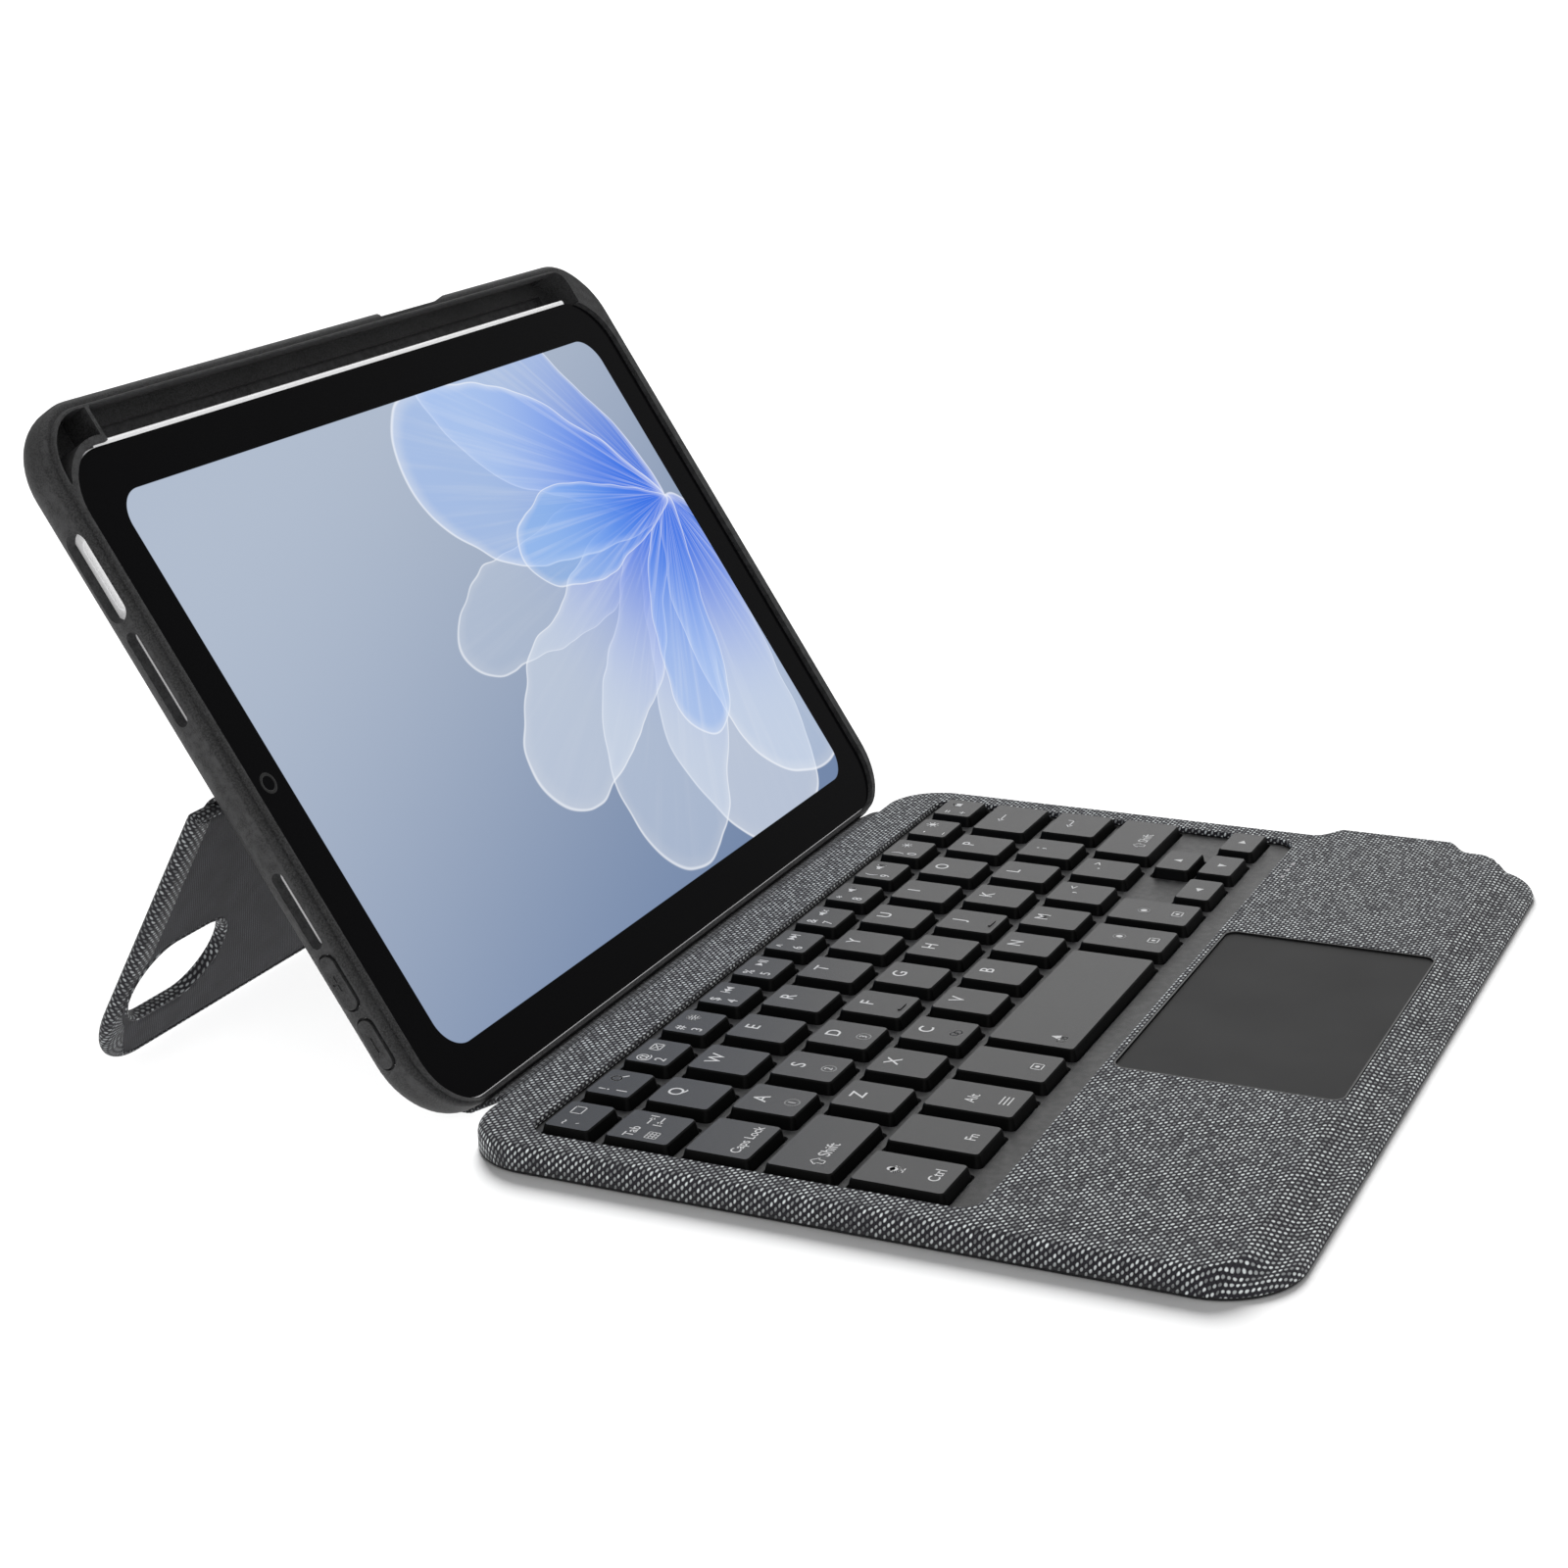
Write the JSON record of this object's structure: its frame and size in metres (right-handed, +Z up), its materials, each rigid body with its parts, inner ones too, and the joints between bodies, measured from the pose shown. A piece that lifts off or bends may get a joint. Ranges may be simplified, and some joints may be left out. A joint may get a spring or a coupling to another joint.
{
  "type": "tablet keyboard case",
  "caption": "Folding tablet case: rubber shell with pencil channel and fabric kickstand, joined by a fabric hinge to a thin keyboard base with trackpad.",
  "frame": {"origin": "centre of the keyboard base's underside, where it rests on the table", "axes": "+X to the right of the person typing, +Y away from them towards the tablet, +Z up; the case stands open for typing"},
  "size_m": [0.2152, 0.2352, 0.1257],
  "materials": {
    "shell_rubber": "fine moulded grain, matte",
    "woven_fabric": "grey melange weave with pale flecks",
    "leather_black": "smooth bonded leather",
    "keyboard_plastic": "fine spark texture",
    "key_plastic": "fine texture with pale printed legends",
    "trackpad_plastic": "smooth matte film",
    "tray_plastic": "plain moulded",
    "stiff_board": "glass fibre board",
    "lining": "short brushed microfibre",
    "silicone": "translucent silicone",
    "film": "polyester film",
    "steel": "stamped",
    "magnet": "nickel plated",
    "circuit": "solder mask",
    "cell": "foil pouch",
    "tablet_metal": "bead blasted, silver",
    "tablet_glass": "polished black border",
    "screen": "lit display under glass",
    "lens": "coated lens",
    "light_pipe": "clear moulded"
  },
  "bodies": {
    "base": {"base_bottom_cover": "leather_black", "base_fabric_cover": "woven_fabric", "base_tray": "tray_plastic", "front_magnets": "magnet", "closing_tab": "woven_fabric", "closing_tab_magnet": "magnet", "key_steel_plate": "steel", "key_membrane": "film", "key_ribbon": "film", "rubber_domes": "silicone", "scissor_frames": "tray_plastic", "key_plate": "keyboard_plastic", "battery": "cell", "circuit_board": "circuit", "indicator_lenses": "light_pipe", "charging_port": "steel", "power_switch_body": "tray_plastic", "trackpad_rim": "keyboard_plastic", "trackpad_switch": "steel"},
    "power_switch": {"power_switch_knob": "keyboard_plastic"},
    "trackpad": {"trackpad_surface": "trackpad_plastic", "trackpad_sensor_board": "circuit"},
    "hinge_strip": {"hinge_strip": "woven_fabric"},
    "shell": {"shell_frame": "shell_rubber", "shell_back_plate": "stiff_board", "shell_back_fabric": "woven_fabric", "shell_lining": "lining", "back_magnets": "magnet", "hinge_tail": "woven_fabric", "kickstand_anchor_band": "woven_fabric"},
    "volume_up": {"volume_up_cover": "shell_rubber"},
    "volume_down": {"volume_down_cover": "shell_rubber"},
    "kickstand": {"kickstand_outer_fabric": "woven_fabric", "kickstand_lining": "woven_fabric", "kickstand_board": "stiff_board", "kickstand_magnets": "magnet"},
    "tablet": {"tablet_housing": "tablet_metal", "tablet_glass": "tablet_glass", "tablet_front_camera": "lens", "tablet_display": "screen", "tablet_rear_camera": "lens", "tablet_battery": "cell"},
    "tablet_power": {"tablet_power_button": "tablet_metal"},
    "number_keys": {"number_keys": "key_plastic"},
    "tab_key": {"tab_key": "key_plastic"},
    "upper_letter_keys": {"upper_letter_keys": "key_plastic"},
    "backspace_key": {"backspace_key": "key_plastic"},
    "caps_lock_key": {"caps_lock_key": "key_plastic"},
    "home_letter_keys": {"home_letter_keys": "key_plastic"},
    "enter_key": {"enter_key": "key_plastic"},
    "left_shift_key": {"left_shift_key": "key_plastic"},
    "lower_letter_keys": {"lower_letter_keys": "key_plastic"},
    "right_shift_key": {"right_shift_key": "key_plastic"},
    "left_modifier_keys": {"left_modifier_keys": "key_plastic"},
    "space_bar": {"space_bar": "key_plastic"},
    "right_modifier_keys": {"right_modifier_keys": "key_plastic"},
    "arrow_keys": {"arrow_keys": "key_plastic"}
  },
  "joints": [
    {"name": "base_fold", "type": "hinge", "parent": "base", "child": "hinge_strip", "pos_m": [0, 0.07465, 0.00382], "axis": [1, 0, 0], "range_deg": [0, 117.11]},
    {"name": "shell_fold", "type": "hinge", "parent": "hinge_strip", "child": "shell", "pos_m": [0, 0.0809, 0.00062], "axis": [1, 0, 0], "range_deg": [0, 5.49]},
    {"name": "kickstand_fold", "type": "hinge", "parent": "shell", "child": "kickstand", "pos_m": [0, 0.12448, 0.05762], "axis": [1, 0, 0], "range_deg": [0, 118.1]},
    {"name": "tablet_lift", "type": "slide", "parent": "shell", "child": "tablet", "axis": [0, -0.8425, 0.5388], "range_m": [0, 0.02]},
    {"name": "volume_up_press", "type": "slide", "parent": "shell", "child": "volume_up", "axis": [1, 0, 0], "range_m": [0, 0.0004], "stiffness_N_per_m": 900},
    {"name": "volume_down_press", "type": "slide", "parent": "shell", "child": "volume_down", "axis": [1, 0, 0], "range_m": [0, 0.0004], "stiffness_N_per_m": 900},
    {"name": "tablet_power_press", "type": "slide", "parent": "tablet", "child": "tablet_power", "axis": [1, 0, 0], "range_m": [0, 0.0003], "stiffness_N_per_m": 900},
    {"name": "power_switch_slide", "type": "slide", "parent": "base", "child": "power_switch", "axis": [0, 1, 0], "range_m": [0, 0.0028]},
    {"name": "trackpad_click", "type": "slide", "parent": "base", "child": "trackpad", "axis": [0, 0, -1], "range_m": [0, 0.00035], "stiffness_N_per_m": 2500},
    {"name": "number_press", "type": "slide", "parent": "base", "child": "number_keys", "axis": [0, 0, -1], "range_m": [0, 0.0011], "stiffness_N_per_m": 500},
    {"name": "tab_press", "type": "slide", "parent": "base", "child": "tab_key", "axis": [0, 0, -1], "range_m": [0, 0.0011], "stiffness_N_per_m": 500},
    {"name": "upper_letter_press", "type": "slide", "parent": "base", "child": "upper_letter_keys", "axis": [0, 0, -1], "range_m": [0, 0.0011], "stiffness_N_per_m": 500},
    {"name": "backspace_press", "type": "slide", "parent": "base", "child": "backspace_key", "axis": [0, 0, -1], "range_m": [0, 0.0011], "stiffness_N_per_m": 500},
    {"name": "caps_lock_press", "type": "slide", "parent": "base", "child": "caps_lock_key", "axis": [0, 0, -1], "range_m": [0, 0.0011], "stiffness_N_per_m": 500},
    {"name": "home_letter_press", "type": "slide", "parent": "base", "child": "home_letter_keys", "axis": [0, 0, -1], "range_m": [0, 0.0011], "stiffness_N_per_m": 500},
    {"name": "enter_press", "type": "slide", "parent": "base", "child": "enter_key", "axis": [0, 0, -1], "range_m": [0, 0.0011], "stiffness_N_per_m": 500},
    {"name": "left_shift_press", "type": "slide", "parent": "base", "child": "left_shift_key", "axis": [0, 0, -1], "range_m": [0, 0.0011], "stiffness_N_per_m": 500},
    {"name": "lower_letter_press", "type": "slide", "parent": "base", "child": "lower_letter_keys", "axis": [0, 0, -1], "range_m": [0, 0.0011], "stiffness_N_per_m": 500},
    {"name": "right_shift_press", "type": "slide", "parent": "base", "child": "right_shift_key", "axis": [0, 0, -1], "range_m": [0, 0.0011], "stiffness_N_per_m": 500},
    {"name": "left_modifier_press", "type": "slide", "parent": "base", "child": "left_modifier_keys", "axis": [0, 0, -1], "range_m": [0, 0.0011], "stiffness_N_per_m": 500},
    {"name": "space_bar_press", "type": "slide", "parent": "base", "child": "space_bar", "axis": [0, 0, -1], "range_m": [0, 0.0011], "stiffness_N_per_m": 500},
    {"name": "right_modifier_press", "type": "slide", "parent": "base", "child": "right_modifier_keys", "axis": [0, 0, -1], "range_m": [0, 0.0011], "stiffness_N_per_m": 500},
    {"name": "arrow_press", "type": "slide", "parent": "base", "child": "arrow_keys", "axis": [0, 0, -1], "range_m": [0, 0.0011], "stiffness_N_per_m": 500}
  ]
}
